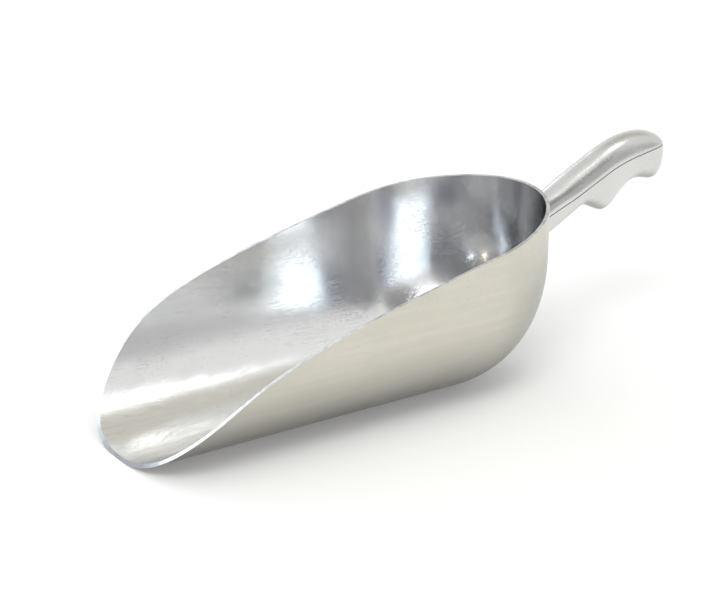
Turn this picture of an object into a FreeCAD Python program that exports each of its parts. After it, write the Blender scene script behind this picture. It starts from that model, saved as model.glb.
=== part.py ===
"""Round-bottomed ice scoop: a thin trough bowl with a hollow two-shell grip welded to its back.

Millimetres, +Z up.  The grip points along +Y, the lip along -Y, and X is the width.
The origin is the bottom centre of the whole scoop's box, on the rest strip under the bowl.
"""
import FreeCAD, Part
import math
import os

V = FreeCAD.Vector

# Driving dimensions: the whole scoop and the bowl.
overall_length = 371.1
bowl_length = 271.1
bowl_half_width = 67.3
bowl_height = 104.8
wall = 2.0
widest_level = 77.05       # above this height the walls stand upright
back_reach = 73.5          # how far the rounded back bulges behind the straight trough
section_power = 2.27       # 2 would be an ellipse; more gives a squarer trough
back_squeeze = 0.015       # pulls the back's shoulders in from a true ellipse
rest_strip_half_width = 8.0
inside_strip_half_width = 1.0

# Rim line seen from the side: distance behind the lip, height above the rest strip.
rim_points = [(0.0, 0.0), (9.0, 11.4), (24.0, 26.2), (48.0, 46.4), (84.0, 63.4),
              (150.0, 81.6), (212.0, 94.8), (bowl_length, bowl_height)]

# Driving dimensions: the grip.  Stations are distances along its axis from the bowl's wall.
grip_root_height = 79.8
grip_rise = 24.7           # degrees above level where it leaves the bowl
grip_tail_rise = 10.4      # degrees above level at the tail
grip_bend_start = 56.5
grip_bend_length = 24.5
grip_length = 105.3
grip_wall = 2.5
tail_wall = 4.5            # thickness left between the hollow and the tail's end
tail_flat = 0.1            # the tail's rounding stops this far short of a point
root_overrun = 12.0        # how far the grip is first made past the bowl's wall
hollow_overrun = 16.0      # the same for the hollow inside it
hollow_overlap = 1.0       # how far each half's hollow passes the seam
seam_gap = 0.6
seam_recess = 0.3
weld_radius = 3.0

# Grip outline: stations with the half width, the height above the seam and the depth below it.
half_widths = [(10.0, 9.3), (35.0, 11.15), (93.0, 11.3)]
heights = [(10.0, 9.4), (50.0, 10.8), (78.0, 12.0)]
depths = [(10.0, 13.8), (35.6, 11.5), (52.9, 25.1), (81.8, 17.2), (99.8, 22.4)]

# Rounding of the tail: its length and the power of its curve, for each of the three.
width_cap = (12.0, 3.0)
height_cap = (27.5, 2.0)
depth_cap = (11.3, 2.8)

# A shallow nick in the tail's end face.
nick_radius = 1.6
nick_depth = 0.7

lip_y = -overall_length / 2
back_wall_y = lip_y + bowl_length
back_centre_y = back_wall_y - back_reach
strip_angle = math.asin((rest_strip_half_width / bowl_half_width) ** (section_power / 2))
section_depth = widest_level / math.cos(strip_angle) ** (2 / section_power)


def section_profile(inset, strip_half_width, top):
    """Points (x, z) up one wall, from the edge of the flat bottom strip to the given height."""
    half_width = bowl_half_width - inset
    depth = section_depth - inset
    start = math.asin((strip_half_width / half_width) ** (section_power / 2))
    steps = 16
    points = []
    for i in range(steps + 1):
        angle = start + (math.pi / 2 - start) * i / steps
        x = half_width * math.sin(angle) ** (2 / section_power)
        z = widest_level - depth * max(math.cos(angle), 0.0) ** (2 / section_power)
        points.append((x, z))
    for part in (0.25, 0.5, 0.75, 1.0):
        points.append((half_width, widest_level + (top - widest_level) * part))
    return points


def level_curve(x, z, inset, front_y):
    """Points round the bowl at one height: one side, the rounded back, the other side."""
    reach = (back_reach - inset) * x / (bowl_half_width - inset)
    side = [front_y + (back_centre_y - front_y) * i / 20 for i in range(20)]
    back_steps = 24
    points = [V(x, y, z) for y in side]
    for i in range(back_steps + 1):
        angle = math.pi * i / back_steps
        pull = 1 - back_squeeze * math.sin(2 * angle) ** 2
        points.append(V(x * pull * math.cos(angle), back_centre_y + reach * pull * math.sin(angle), z))
    points += [V(-x, y, z) for y in reversed(side)]
    return points


def trough_solid(inset, strip_half_width, front_y, top):
    """Closed solid inside one of the bowl's surfaces, flat below, in front and on top."""
    rows = [level_curve(x, z, inset, front_y)
            for x, z in section_profile(inset, strip_half_width, top)]
    skin = Part.BSplineSurface()
    skin.interpolate(rows)
    skin_face = skin.toShape()
    edges = skin_face.Edges
    middle_z = (rows[0][0].z + rows[-1][0].z) / 2

    def closing_face(edge):
        ends = [edge.Vertexes[0].Point, edge.Vertexes[-1].Point]
        return Part.Face(Part.Wire(Part.__sortEdges__([edge, Part.makeLine(*ends)])))

    level_edges = [e for e in edges if abs(e.Vertexes[0].Z - e.Vertexes[-1].Z) < 0.01]
    upright_edges = [e for e in edges if abs(e.Vertexes[0].Z - e.Vertexes[-1].Z) > middle_z / 2]
    caps = [closing_face(e) for e in level_edges]
    upright_ends = [v.Point for e in upright_edges for v in (e.Vertexes[0], e.Vertexes[-1])]
    front_lines = []
    for z in (rows[0][0].z, rows[-1][0].z):
        corners = [p for p in upright_ends if abs(p.z - z) < 0.01]
        front_lines.append(Part.makeLine(*corners))
    front = Part.Face(Part.Wire(Part.__sortEdges__(upright_edges + front_lines)))
    solid = Part.Solid(Part.Shell([skin_face, front] + caps))
    if solid.Volume < 0:
        solid.reverse()
    return solid


def rim_cutter():
    """Everything above and in front of the rim line, as a wide block."""
    points = [V(0, lip_y + y, z) for y, z in rim_points]
    line = Part.BSplineCurve()
    line.interpolate(points)
    first, last = points[0], points[-1]
    start_direction = line.tangent(line.FirstParameter)[0]
    end_direction = line.tangent(line.LastParameter)[0]
    below = first - start_direction * 8
    behind = last + end_direction * 20
    margin = 30
    corners = [behind, V(0, behind.y, behind.z + margin), V(0, below.y - margin, behind.z + margin),
               V(0, below.y - margin, below.z), below]
    sides = [Part.makeLine(a, b) for a, b in zip(corners, corners[1:])]
    outline = [Part.makeLine(below, first), line.toShape(), Part.makeLine(last, behind)] + sides
    width = 2 * bowl_half_width + margin
    face = Part.Face(Part.Wire(Part.__sortEdges__(outline)))
    face.translate(V(-width / 2, 0, 0))
    return face.extrude(V(width, 0, 0))


def bowl_envelope():
    return trough_solid(0.0, rest_strip_half_width, lip_y - 5, bowl_height + 6)


def make_bowl():
    inside = trough_solid(wall, inside_strip_half_width, lip_y - 10, bowl_height + 12)
    return bowl_envelope().cut(inside).cut(rim_cutter()).Solids[0]


def eased(stations, s):
    """Value at s, eased like half a cosine wave from each station's value to the next."""
    if s <= stations[0][0]:
        return stations[0][1]
    for (start, value), (end, next_value) in zip(stations, stations[1:]):
        if s <= end:
            part = (1 - math.cos(math.pi * (s - start) / (end - start))) / 2
            return value + (next_value - value) * part
    return stations[-1][1]


def rounded(cap, s):
    """1 along the grip, falling to 0 at the tail's end along the cap's curve."""
    length, power = cap
    part = max(0.0, (s - (grip_length - length)) / length)
    return max(0.0, 1 - part ** power) ** (1 / power)


def grip_axis(s):
    """Point on the grip's axis and its rise there: straight, a bend, then straight."""
    rise, tail_rise = math.radians(grip_rise), math.radians(grip_tail_rise)
    y = back_wall_y + min(s, grip_bend_start) * math.cos(rise)
    z = grip_root_height + min(s, grip_bend_start) * math.sin(rise)
    turned = min(max(s - grip_bend_start, 0.0), grip_bend_length)
    radius = grip_bend_length / (rise - tail_rise)
    now = rise - turned / radius
    y += radius * (math.sin(rise) - math.sin(now))
    z += radius * (math.cos(now) - math.cos(rise))
    beyond = max(s - grip_bend_start - grip_bend_length, 0.0)
    return y + beyond * math.cos(now), z + beyond * math.sin(now), now


def grip_point(s, x, n):
    """A point x across and n above the seam, on the section square to the axis at s."""
    y, z, rise = grip_axis(s)
    return V(x, y - n * math.sin(rise), z + n * math.cos(rise))


def half_section(s, side, inset, base):
    """Curved edge of one half's section, its feet on the level n = base."""
    half_width = eased(half_widths, s) * rounded(width_cap, s) - inset
    if side > 0:
        reach = eased(heights, s) * rounded(height_cap, s) - inset
    else:
        reach = eased(depths, s) * rounded(depth_cap, s) - inset
    steps = 12
    points = []
    for i in range(steps + 1):
        angle = math.pi * i / steps
        n = side * (reach - side * base) * math.sin(angle) + base
        points.append(grip_point(s, half_width * math.cos(angle), n))
    curve = Part.BSplineCurve()
    curve.interpolate(points)
    return curve.toShape()


def grip_stations(start, end_clearance):
    """Stations along the grip, closer together where the tail rounds off."""
    body_end = grip_length - depth_cap[0] - 3
    count = round((body_end - start) / 4.5)
    body = [start + (body_end - start) * i / count for i in range(count)]
    tail_length = grip_length - end_clearance - body_end
    tail = [body_end + tail_length * math.sin(math.pi / 2 * i / 8) for i in range(9)]
    return body + tail


def grip_half(side, inset, base, start, end_clearance):
    """Solid half of the grip, above (side 1) or below (side -1) the seam."""
    wires = []
    for s in grip_stations(start, end_clearance):
        curve = half_section(s, side, inset, base)
        feet = Part.makeLine(curve.Vertexes[-1].Point, curve.Vertexes[0].Point)
        wires.append(Part.Wire([curve, feet]))
    return Part.makeLoft(wires, True, False)


def grip_shell(side):
    """One hollow half of the grip, trimmed to the bowl's back wall."""
    outer = grip_half(side, 0.0, side * seam_gap / 2, -root_overrun, tail_flat)
    hollow = grip_half(side, grip_wall, -side * hollow_overlap, -hollow_overrun, tail_wall)
    return outer.cut(hollow).cut(bowl_envelope())


def seam_plate():
    """The braze line between the two halves: a thin frame, a little below their surface."""
    def flat_bar(inset, half_thickness, start, end_clearance):
        wires = []
        for s in grip_stations(start, end_clearance):
            half_width = eased(half_widths, s) * rounded(width_cap, s) - inset
            corners = [grip_point(s, x * half_width, n * half_thickness)
                       for x, n in ((1, -1), (1, 1), (-1, 1), (-1, -1), (1, -1))]
            wires.append(Part.makePolygon(corners))
        return Part.makeLoft(wires, True, False)

    plate = flat_bar(seam_recess, seam_gap / 2, -root_overrun, tail_flat + seam_recess)
    inside = flat_bar(grip_wall, seam_gap, -hollow_overrun, tail_wall)
    return plate.cut(inside).cut(bowl_envelope())


def grip_envelope():
    """The whole grip's outside as one solid, reaching into the bowl's wall."""
    wires = []
    for s in grip_stations(-root_overrun, tail_flat):
        wires.append(Part.Wire([half_section(s, 1, 0.0, 0.0), half_section(s, -1, 0.0, 0.0)]))
    return Part.makeLoft(wires, True, False)


def wall_corner(angle, outward):
    """Point where a line along the grip's surface, moved outward, meets the bowl's back wall."""
    rise = math.radians(grip_rise)
    reach = half_section_reach(angle) + outward
    x = (half_widths[0][1] + outward) * math.cos(angle)
    n = reach * math.sin(angle)
    s = 0.0
    for _ in range(6):
        z = grip_root_height + s * math.sin(rise) + n * math.cos(rise)
        below = max(widest_level - z, 0.0) / section_depth
        level = (1 - below ** section_power) ** (1 / section_power)
        y = back_centre_y + back_reach * math.sqrt(level ** 2 - (x / bowl_half_width) ** 2)
        s = (y - back_wall_y + n * math.sin(rise)) / math.cos(rise)
    return V(x, y, z)


def half_section_reach(angle):
    """The grip's height above the seam or depth below it at its root."""
    return heights[0][1] if angle > 0 else depths[0][1]


def root_weld():
    """Fillet of weld metal in the corner between the grip's root and the bowl."""
    rise = math.radians(grip_rise)
    along = V(0, math.cos(rise), math.sin(rise))
    buried, proud, hollow = 0.6, 0.1, 0.2
    steps = 18
    wires = []
    for i in range(steps + 1):
        angle = math.pi * (i / steps - 0.5)
        corner = wall_corner(angle, 0.0)
        root = wall_corner(angle, -buried) - along * buried
        on_grip = wall_corner(angle, proud) + along * weld_radius
        on_bowl = wall_corner(angle, weld_radius) + along * proud
        middle = (on_grip + on_bowl) / 2
        face = Part.Arc(on_grip, middle + (corner - middle) * hollow, on_bowl).toShape()
        wires.append(Part.Wire([Part.makeLine(root, on_grip), face, Part.makeLine(on_bowl, root)]))
    half = Part.makeLoft(wires, True, False)
    ring = half.fuse(half.mirror(V(0, 0, 0), V(1, 0, 0)))
    return ring.cut(grip_envelope()).cut(bowl_envelope())


def tail_nick():
    """Small ball whose cap dents the lower half's end, just below the seam."""
    surface = grip_point(grip_length - 0.6, 1.5, -3.5)
    return Part.makeSphere(nick_radius, surface + V(0, nick_radius - nick_depth, 0))


def main():
    os.makedirs("parts", exist_ok=True)
    nodes = {
        "bowl": make_bowl(),
        "handle_upper_shell": grip_shell(1),
        "handle_lower_shell": grip_shell(-1).cut(tail_nick()),
        "handle_seam_braze": seam_plate(),
        "handle_root_weld": root_weld(),
    }
    for name, shape in nodes.items():
        shape.exportStep("parts/" + name + ".step")
        box = shape.optimalBoundingBox()
        print(name, shape.ShapeType, len(shape.Solids), shape.isValid(), round(shape.Volume),
              [round(v, 2) for v in (box.XMin, box.XMax, box.YMin, box.YMax, box.ZMin, box.ZMax)])


main()
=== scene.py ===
import math

import bpy
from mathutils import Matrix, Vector

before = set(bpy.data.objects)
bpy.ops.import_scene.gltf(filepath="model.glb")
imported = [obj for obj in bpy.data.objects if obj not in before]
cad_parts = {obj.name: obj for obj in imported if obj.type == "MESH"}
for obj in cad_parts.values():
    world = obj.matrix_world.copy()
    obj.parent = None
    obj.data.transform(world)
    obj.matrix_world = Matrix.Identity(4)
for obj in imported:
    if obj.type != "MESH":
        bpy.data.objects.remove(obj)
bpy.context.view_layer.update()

# Lengths are in metres and angles in degrees. Azimuths turn from straight in front of the lip
# towards +X, and elevations go up from the floor.

# The camera.
VIEW_AZIMUTH = 56.0
VIEW_ELEVATION = 20.75
VIEW_DISTANCE = 1.126
VIEW_LENS = 100.0
SENSOR_WIDTH = 36.0
AIM = (-0.0224, -0.0196, 0.0441)

# The bowl: the height its walls bend round, where its rounded back starts, and its lip.
WALL_BEND_HEIGHT = 0.077
BACK_START = 0.012
LIP = -0.1855

# A bevel that was meant to round the rim. The mesh isn't joined along the rim, so the rim stays
# square, and the bevel only catches needle-thin faces on the trough's bottom.
RIM_ROUNDING = 0.0007
RIM_ROUNDING_STEPS = 3
RIM_EDGE_ANGLE = 40

# The weld at the grip's root: the height of its centre, and the ripples in one turn round it.
WELD_HEIGHT = 0.0795
WELD_RIPPLES = 46.0

# The floor: half its side, and how far it lies below the scoop so that the two don't touch.
FLOOR_HALF_SIDE = 20.0
FLOOR_DROP = 0.0002

# The room seen from the scoop: its colour, and softly edged patches of another colour, each as
# azimuth, elevation, half angle of its full part, half angle of its outer edge, colour.
ROOM_COLOUR = (0.88, 0.88, 0.87)
ROOM_PATCHES = [
    (-48, 12, 12, 32, (0.60, 0.62, 0.66)),
    (-47, 13, 6, 16, (0.24, 0.25, 0.29)),
    (34, 4, 14, 36, (0.34, 0.35, 0.36)),
    (112, 12, 10, 34, (0.56, 0.56, 0.56)),
    (90, 44, 8, 22, (0.30, 0.30, 0.30)),
    (-140, 54, 14, 26, (0.66, 0.64, 0.57)),
]
BACKDROP_COLOUR = (0.96, 0.96, 0.96)

# Area lights: name, azimuth, elevation, distance, width, height, watts, colour.
LIGHTS = [
    ("window", -81, 24, 2.5, 2.3, 1.0, 12.5, (0.80, 0.92, 1.0)),
    ("overhead", 152, 73, 2.5, 0.75, 0.8, 3.0, (1.0, 1.0, 0.94)),
    ("key", 45, 52, 2.5, 1.1, 1.1, 21.0, (1.0, 1.0, 0.99)),
    ("lamp_warm", 3, 3, 2.5, 0.14, 0.14, 1.6, (1.0, 0.84, 0.62)),
    ("lamp_cool", 18, 5, 2.5, 0.13, 0.13, 1.1, (0.86, 0.94, 1.0)),
]
LIGHTS_CENTRE = Vector((0, 0, 0.05))


def direction(azimuth, elevation):
    turn = math.radians(azimuth)
    climb = math.radians(elevation)
    level = math.cos(climb)
    return Vector((math.sin(turn) * level, -math.cos(turn) * level, math.sin(climb)))


def with_alpha(colour):
    """A plain colour gets its fourth number; a socket stays as it is."""
    return (*colour, 1.0) if isinstance(colour, tuple) else colour


class Nodes:
    """Short calls for building one node tree."""

    def __init__(self, tree):
        self.tree = tree
        tree.nodes.clear()

    def node(self, kind, inputs, **settings):
        """A new node. Each input is a number or colour to set, or a socket to link."""
        made = self.tree.nodes.new(kind)
        for name, value in settings.items():
            setattr(made, name, value)
        for key, value in inputs.items():
            if isinstance(value, bpy.types.NodeSocket):
                self.tree.links.new(value, made.inputs[key])
            else:
                made.inputs[key].default_value = value
        return made

    def math(self, operation, a, b=0.0):
        return self.node("ShaderNodeMath", {0: a, 1: b}, operation=operation).outputs[0]

    def vector(self, operation, a, b=(0.0, 0.0, 0.0)):
        made = self.node("ShaderNodeVectorMath", {0: a, 1: b}, operation=operation)
        return made.outputs["Value" if operation in ("DOT_PRODUCT", "LENGTH") else "Vector"]

    def split(self, vector):
        """The three sockets x, y and z of a vector."""
        return self.node("ShaderNodeSeparateXYZ", {0: vector}).outputs

    def fade(self, value, start, end, low=0.0, high=1.0):
        """A smooth step from low at start to high at end."""
        inputs = {"Value": value, "From Min": start, "From Max": end, "To Min": low, "To Max": high}
        made = self.node("ShaderNodeMapRange", inputs, interpolation_type="SMOOTHSTEP")
        return made.outputs["Result"]

    def blend(self, factor, a, b):
        """Colour a where factor is 0, b where it is 1."""
        inputs = {0: factor, 6: with_alpha(a), 7: with_alpha(b)}
        return self.node("ShaderNodeMix", inputs, data_type="RGBA").outputs[2]

    def tinted(self, colour, mask, share, tint):
        """The colour, moved by this share towards tint where mask is 1."""
        return self.blend(self.math("MULTIPLY", mask, share), colour, tint)

    def between(self, factor, a, b):
        """Number a where factor is 0, b where it is 1."""
        return self.node("ShaderNodeMix", {0: factor, 2: a, 3: b}, data_type="FLOAT").outputs[0]

    def stretched(self, position, scale, turn=(0.0, 0.0, 0.0)):
        rotation = [math.radians(angle) for angle in turn]
        made = self.node("ShaderNodeMapping",
                         {"Vector": position, "Scale": scale, "Rotation": rotation})
        return made.outputs["Vector"]

    def noise(self, position, scale, detail=3.0, roughness=0.5):
        inputs = {"Vector": position, "Scale": scale, "Detail": detail, "Roughness": roughness}
        return self.node("ShaderNodeTexNoise", inputs).outputs["Fac"]

    def scratches(self, position, turn, across, along, width, cover):
        """1 along thin lines that run one way, in the patches that cover leaves."""
        turned = self.stretched(position, (1.0, 1.0, 1.0), turn)
        drawn = self.stretched(turned, (across, along, across))
        from_middle = self.math("ABSOLUTE", self.math("SUBTRACT", self.noise(drawn, 1.0, 2.0), 0.5))
        line = self.fade(from_middle, 0.0, width, 1.0, 0.0)
        patches = self.fade(self.noise(turned, 38.0, 2.0), cover, cover + 0.12)
        return self.math("MULTIPLY", line, patches)

    def pits(self, position, scale, size, share):
        """1 in small round dots, in the given share of the cells."""
        cells = self.node("ShaderNodeTexVoronoi",
                          {"Vector": position, "Scale": scale, "Randomness": 1.0})
        cell_number = self.node("ShaderNodeSeparateColor", {0: cells.outputs["Color"]}).outputs[0]
        chosen = self.math("LESS_THAN", cell_number, share)
        dots = self.fade(cells.outputs["Distance"], size * 0.5, size, 1.0, 0.0)
        return self.math("MULTIPLY", dots, chosen)

    def bumps(self, *layers):
        """Bumps laid over each other, each given as its height from 0 to 1 and its depth."""
        shape = None
        for height, depth in layers:
            inputs = {"Height": height, "Distance": depth, "Strength": 1.0}
            if shape is not None:
                inputs["Normal"] = shape
            shape = self.node("ShaderNodeBump", inputs).outputs[0]
        return shape


def new_material(name):
    material = bpy.data.materials.new(name)
    material.use_nodes = True
    nodes = Nodes(material.node_tree)
    position = nodes.node("ShaderNodeTexCoord", {}).outputs["Object"]
    return material, nodes, position


def metal_surface(nodes, colour, roughness, shape):
    shader = nodes.node("ShaderNodeBsdfPrincipled",
                        {"Base Color": colour, "Metallic": 1.0, "Roughness": roughness, "Normal": shape})
    nodes.node("ShaderNodeOutputMaterial", {"Surface": shader.outputs[0]})


def bowl_metal():
    """Polished inside and satin outside, with a worn rim, and painted shade far back inside and on the
    downward faces and back end outside.
    """
    material, nodes, position = new_material("bowl_aluminium")
    x, y, z = nodes.split(position)
    normal = nodes.node("ShaderNodeNewGeometry", {}).outputs["Normal"]

    # Outwards from the bowl's bend line: 1 outside, -1 inside, about 0 on the rim.
    behind = nodes.math("MAXIMUM", nodes.math("SUBTRACT", y, BACK_START), 0.0)
    below = nodes.math("MINIMUM", nodes.math("SUBTRACT", z, WALL_BEND_HEIGHT), 0.0)
    outwards = nodes.node("ShaderNodeCombineXYZ", {0: x, 1: behind, 2: below}).outputs[0]
    facing = nodes.vector("DOT_PRODUCT", nodes.vector("NORMALIZE", outwards), normal)
    outside = nodes.fade(facing, 0.1, 0.6)
    rim = nodes.math("SUBTRACT", 1.0, nodes.fade(nodes.math("ABSOLUTE", facing), 0.35, 0.75))

    # The front part, and three masks of painted shade: far back inside, and on the downward faces and
    # back end outside, standing in for the darker surroundings and shadowed floor the metal reflects.
    slope = nodes.split(normal)
    front = nodes.fade(y, LIP + 0.17, LIP + 0.05)
    deep_painted_shade = nodes.fade(y, BACK_START + 0.03, BACK_START + 0.070)
    underside_painted_shade = nodes.fade(slope[2], -0.12, -0.82)
    low_down = nodes.fade(z, 0.108, 0.045)
    back_end_painted_shade = nodes.math("MULTIPLY", nodes.fade(slope[1], -0.05, 0.7), low_down)

    # Waves left by forming and polishing, the fine grain, and the marks of use.
    waves = nodes.noise(nodes.stretched(position, (1.0, 0.6, 1.0)), 26.0, 1.5)
    ripples = nodes.noise(position, 85.0, 2.0)
    streaks = nodes.noise(nodes.stretched(position, (150.0, 9.0, 150.0)), 1.0, 4.0, 0.6)
    grain = nodes.noise(nodes.stretched(position, (1.0, 0.35, 1.0)), 1500.0, 4.0, 0.65)
    mottle = nodes.noise(position, 120.0, 4.0, 0.6)
    clouds = nodes.noise(position, 16.0, 3.0, 0.55)
    along = nodes.scratches(position, (0, 0, 4), 620.0, 16.0, 0.035, 0.46)
    across = nodes.scratches(position, (0, 35, 52), 700.0, 22.0, 0.03, 0.50)
    slanted = nodes.scratches(position, (10, -28, -38), 760.0, 26.0, 0.03, 0.50)
    marks = nodes.math("MAXIMUM", along, nodes.math("MAXIMUM", across, slanted))
    dots = nodes.pits(position, 330.0, 0.16, 0.22)
    cuts = nodes.math("MULTIPLY", nodes.math("MAXIMUM", marks, dots), -1.0)

    inner = nodes.blend(clouds, (0.82, 0.82, 0.82), (0.90, 0.90, 0.895))
    inner = nodes.tinted(inner, mottle, 0.35, (0.68, 0.68, 0.70))
    # Painted shade: the far back inside is darkened to stand in for the dark surroundings it reflects.
    inner = nodes.tinted(inner, deep_painted_shade, 0.9, (0.17, 0.175, 0.19))

    # The outside's darker, warmer colour is partly a dull tint of the metal and partly a painted
    # reflection of a warm beige floor.
    outer = nodes.blend(clouds, (0.62, 0.595, 0.515), (0.715, 0.69, 0.61))
    outer = nodes.tinted(outer, mottle, 0.25, (0.50, 0.48, 0.43))
    brushed = nodes.fade(streaks, 0.45, 0.75, 0.0, 0.35)
    outer = nodes.blend(brushed, outer, (0.80, 0.79, 0.75))
    # Painted shade: the downward faces and the back end outside are darkened to stand in for the
    # shadowed floor they reflect.
    outer = nodes.tinted(outer, underside_painted_shade, 0.85, (0.24, 0.232, 0.215))
    outer = nodes.tinted(outer, back_end_painted_shade, 0.75, (0.22, 0.215, 0.20))

    colour = nodes.blend(outside, inner, outer)
    colour = nodes.tinted(colour, marks, 0.35, (0.55, 0.55, 0.55))
    colour = nodes.tinted(colour, dots, 0.45, (0.42, 0.42, 0.44))
    chips = nodes.fade(nodes.noise(position, 130.0, 4.0, 0.6), 0.35, 0.62)
    worn = nodes.blend(chips, (0.44, 0.44, 0.46), (0.68, 0.68, 0.70))
    colour = nodes.blend(rim, colour, worn)

    inner_back_rough = nodes.between(clouds, 0.12, 0.18)
    inner_front_rough = nodes.between(clouds, 0.13, 0.18)
    inner_rough = nodes.between(front, inner_back_rough, inner_front_rough)
    outer_rough = nodes.between(streaks, 0.20, 0.40)
    roughness = nodes.between(outside, inner_rough, outer_rough)
    roughness = nodes.math("ADD", roughness, nodes.between(mottle, -0.03, 0.05))
    roughness = nodes.math("ADD", roughness, nodes.math("MULTIPLY", marks, 0.10))
    roughness = nodes.between(rim, roughness, nodes.between(mottle, 0.22, 0.34))

    shape = nodes.bumps((waves, 0.0008), (ripples, 0.00003), (grain, 0.00001), (cuts, 0.00001))
    metal_surface(nodes, colour, roughness, shape)
    return material


def grip_metal():
    """Tumbled castings: satin, a little grainy, rubbed smoother in patches, with painted shade on faces
    turned downwards.
    """
    material, nodes, position = new_material("grip_aluminium")
    clouds = nodes.noise(position, 42.0, 3.0, 0.55)
    mottle = nodes.noise(position, 260.0, 4.0, 0.6)
    grain = nodes.noise(position, 1900.0, 3.0, 0.6)
    waves = nodes.noise(position, 60.0, 1.5)
    along = nodes.scratches(position, (0, 0, 6), 900.0, 34.0, 0.03, 0.50)
    across = nodes.scratches(position, (25, 30, 70), 900.0, 40.0, 0.03, 0.54)
    marks = nodes.math("MAXIMUM", along, across)
    dots = nodes.pits(position, 420.0, 0.2, 0.25)
    cuts = nodes.math("MULTIPLY", nodes.math("MAXIMUM", marks, dots), -1.0)
    normal = nodes.node("ShaderNodeNewGeometry", {}).outputs["Normal"]
    # Painted shade mask: faces turned downwards.
    underneath_painted_shade = nodes.fade(nodes.split(normal)[2], -0.35, -0.90)

    colour = nodes.blend(clouds, (0.65, 0.645, 0.63), (0.74, 0.74, 0.735))
    colour = nodes.tinted(colour, mottle, 0.2, (0.56, 0.555, 0.54))
    colour = nodes.tinted(colour, marks, 0.2, (0.50, 0.50, 0.50))
    colour = nodes.tinted(colour, dots, 0.3, (0.38, 0.38, 0.38))
    # Painted shade: downward faces are darkened to stand in for the shadowed floor they reflect.
    colour = nodes.tinted(colour, underneath_painted_shade, 0.8, (0.19, 0.186, 0.178))

    roughness = nodes.between(clouds, 0.18, 0.26)
    roughness = nodes.math("ADD", roughness, nodes.between(mottle, -0.02, 0.04))
    roughness = nodes.math("ADD", roughness, nodes.math("MULTIPLY", marks, 0.08))

    shape = nodes.bumps((waves, 0.0004), (mottle, 0.00001), (grain, 0.000004), (cuts, 0.000015))
    metal_surface(nodes, colour, roughness, shape)
    return material


def braze_metal():
    """The seam's filler: dull, darkened by dirt that stays in the groove."""
    material, nodes, position = new_material("seam_braze")
    dirt = nodes.noise(position, 300.0, 4.0, 0.65)
    beads = nodes.noise(position, 900.0, 3.0)
    colour = nodes.blend(dirt, (0.10, 0.10, 0.10), (0.34, 0.33, 0.32))
    roughness = nodes.between(dirt, 0.65, 0.42)
    metal_surface(nodes, colour, roughness, nodes.bumps((beads, 0.00012)))
    return material


def weld_metal():
    """The root's bead: small ripples side by side round the joint, a little sooty."""
    material, nodes, position = new_material("weld_metal")
    place = nodes.split(position)
    turn = nodes.math("ARCTAN2", nodes.math("SUBTRACT", place[2], WELD_HEIGHT), place[0])
    wobble = nodes.math("MULTIPLY", nodes.noise(position, 180.0, 2.0), 2.2)
    wave = nodes.math("ADD", nodes.math("MULTIPLY", turn, WELD_RIPPLES), wobble)
    ripple = nodes.math("ADD", nodes.math("SINE", wave), 1.0)
    ripple = nodes.math("MULTIPLY", ripple, 0.5)
    hollows = nodes.math("SUBTRACT", 1.0, ripple)
    soot = nodes.noise(position, 150.0, 4.0, 0.6)
    grain = nodes.noise(position, 1400.0, 3.0)

    colour = nodes.blend(soot, (0.40, 0.395, 0.385), (0.68, 0.675, 0.66))
    colour = nodes.tinted(colour, hollows, 0.25, (0.40, 0.39, 0.38))
    roughness = nodes.between(soot, 0.44, 0.28)
    metal_surface(nodes, colour, roughness, nodes.bumps((ripple, 0.0001), (grain, 0.00002)))
    return material


def floor_paper():
    """Matt pale paper that gives off a little light, more far away, so that no horizon shows."""
    material, nodes, position = new_material("floor_paper")
    fibres = nodes.noise(position, 900.0, 3.0, 0.6)
    tone = nodes.noise(position, 1.3, 2.0)
    colour = nodes.blend(tone, (0.81, 0.81, 0.805), (0.83, 0.83, 0.825))
    glow = nodes.fade(nodes.vector("LENGTH", position), 0.5, 3.0, 0.16, 0.34)
    shader = nodes.node("ShaderNodeBsdfPrincipled", {
        "Base Color": colour,
        "Roughness": nodes.between(fibres, 0.85, 0.95),
        "Specular IOR Level": 0.1,
        "Emission Color": (1.0, 1.0, 1.0, 1.0),
        "Emission Strength": glow,
        "Normal": nodes.bumps((fibres, 0.00003)),
    })
    nodes.node("ShaderNodeOutputMaterial", {"Surface": shader.outputs[0]})
    return material


def add_floor():
    half = FLOOR_HALF_SIDE
    mesh = bpy.data.meshes.new("floor")
    corners = [(-half, -half, 0), (half, -half, 0), (half, half, 0), (-half, half, 0)]
    mesh.from_pydata(corners, [], [(0, 1, 2, 3)])
    mesh.materials.append(floor_paper())
    floor = bpy.data.objects.new("floor", mesh)
    floor.location.z = -FLOOR_DROP
    bpy.context.scene.collection.objects.link(floor)


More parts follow.
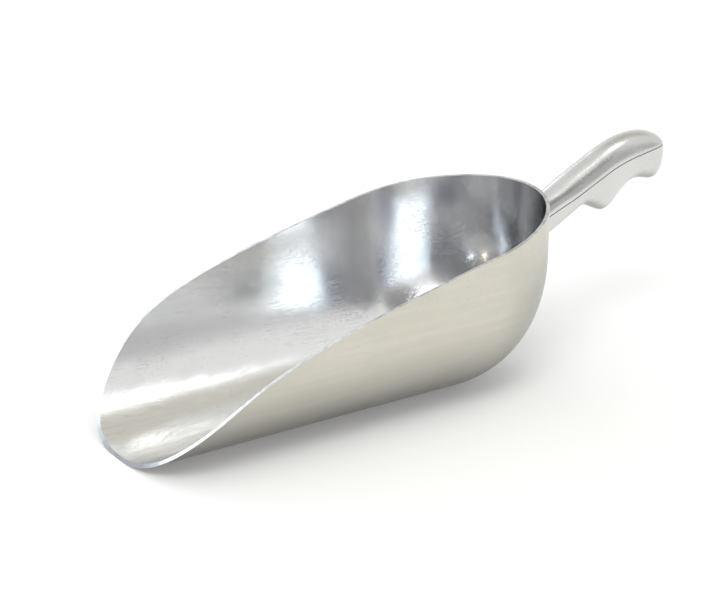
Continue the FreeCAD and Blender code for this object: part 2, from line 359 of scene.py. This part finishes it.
def add_world():
    """A pale room with softly darker patches, and a plain pale backdrop where the camera sees it."""
    world = bpy.data.worlds.new("studio")
    bpy.context.scene.world = world
    world.use_nodes = True
    nodes = Nodes(world.node_tree)
    way = nodes.vector("NORMALIZE", nodes.node("ShaderNodeTexCoord", {}).outputs["Generated"])
    colour = ROOM_COLOUR
    for azimuth, elevation, full_part, outer_edge, patch_colour in ROOM_PATCHES:
        near = nodes.vector("DOT_PRODUCT", way, tuple(direction(azimuth, elevation)))
        inside = nodes.fade(near, math.cos(math.radians(outer_edge)), math.cos(math.radians(full_part)))
        colour = nodes.blend(inside, colour, patch_colour)
    seen = nodes.node("ShaderNodeLightPath", {}).outputs["Is Camera Ray"]
    colour = nodes.blend(seen, colour, BACKDROP_COLOUR)
    background = nodes.node("ShaderNodeBackground", {"Color": colour, "Strength": 1.0})
    nodes.node("ShaderNodeOutputWorld", {"Surface": background.outputs[0]})


def add_lights():
    """Soft rectangles that face the scoop. The camera doesn't see them."""
    for name, azimuth, elevation, distance, width, height, watts, colour in LIGHTS:
        data = bpy.data.lights.new(name, "AREA")
        data.shape = "RECTANGLE"
        data.size = width
        data.size_y = height
        data.energy = watts
        data.color = colour
        light = bpy.data.objects.new(name, data)
        way = direction(azimuth, elevation)
        light.location = way * distance + LIGHTS_CENTRE
        light.rotation_mode = "QUATERNION"
        light.rotation_quaternion = way.to_track_quat("Z", "Y")
        light.visible_camera = False
        bpy.context.scene.collection.objects.link(light)


def add_camera():
    data = bpy.data.cameras.new("camera")
    data.lens = VIEW_LENS
    data.sensor_width = SENSOR_WIDTH
    data.clip_start = 0.01
    camera = bpy.data.objects.new("camera", data)
    camera.location = Vector(AIM) + direction(VIEW_AZIMUTH, VIEW_ELEVATION) * VIEW_DISTANCE
    camera.rotation_euler = (math.radians(90 - VIEW_ELEVATION), 0, math.radians(VIEW_AZIMUTH))
    bpy.context.scene.collection.objects.link(camera)
    bpy.context.scene.camera = camera


def finish_nodes():
    """Gives each CAD node its own metal, and the bowl the bevel described at the top."""
    grip = grip_metal()
    metals = {
        "bowl": bowl_metal(),
        "handle_upper_shell": grip,
        "handle_lower_shell": grip,
        "handle_seam_braze": braze_metal(),
        "handle_root_weld": weld_metal(),
    }
    for name, material in metals.items():
        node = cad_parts[name]
        node.data.materials.clear()
        node.data.materials.append(material)
    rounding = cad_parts["bowl"].modifiers.new("rim_rounding", "BEVEL")
    rounding.width = RIM_ROUNDING
    rounding.segments = RIM_ROUNDING_STEPS
    rounding.limit_method = "ANGLE"
    rounding.angle_limit = math.radians(RIM_EDGE_ANGLE)
    rounding.use_clamp_overlap = False
    rounding.harden_normals = True


finish_nodes()
add_floor()
add_world()
add_lights()
add_camera()
bpy.context.scene.view_settings.view_transform = "Standard"
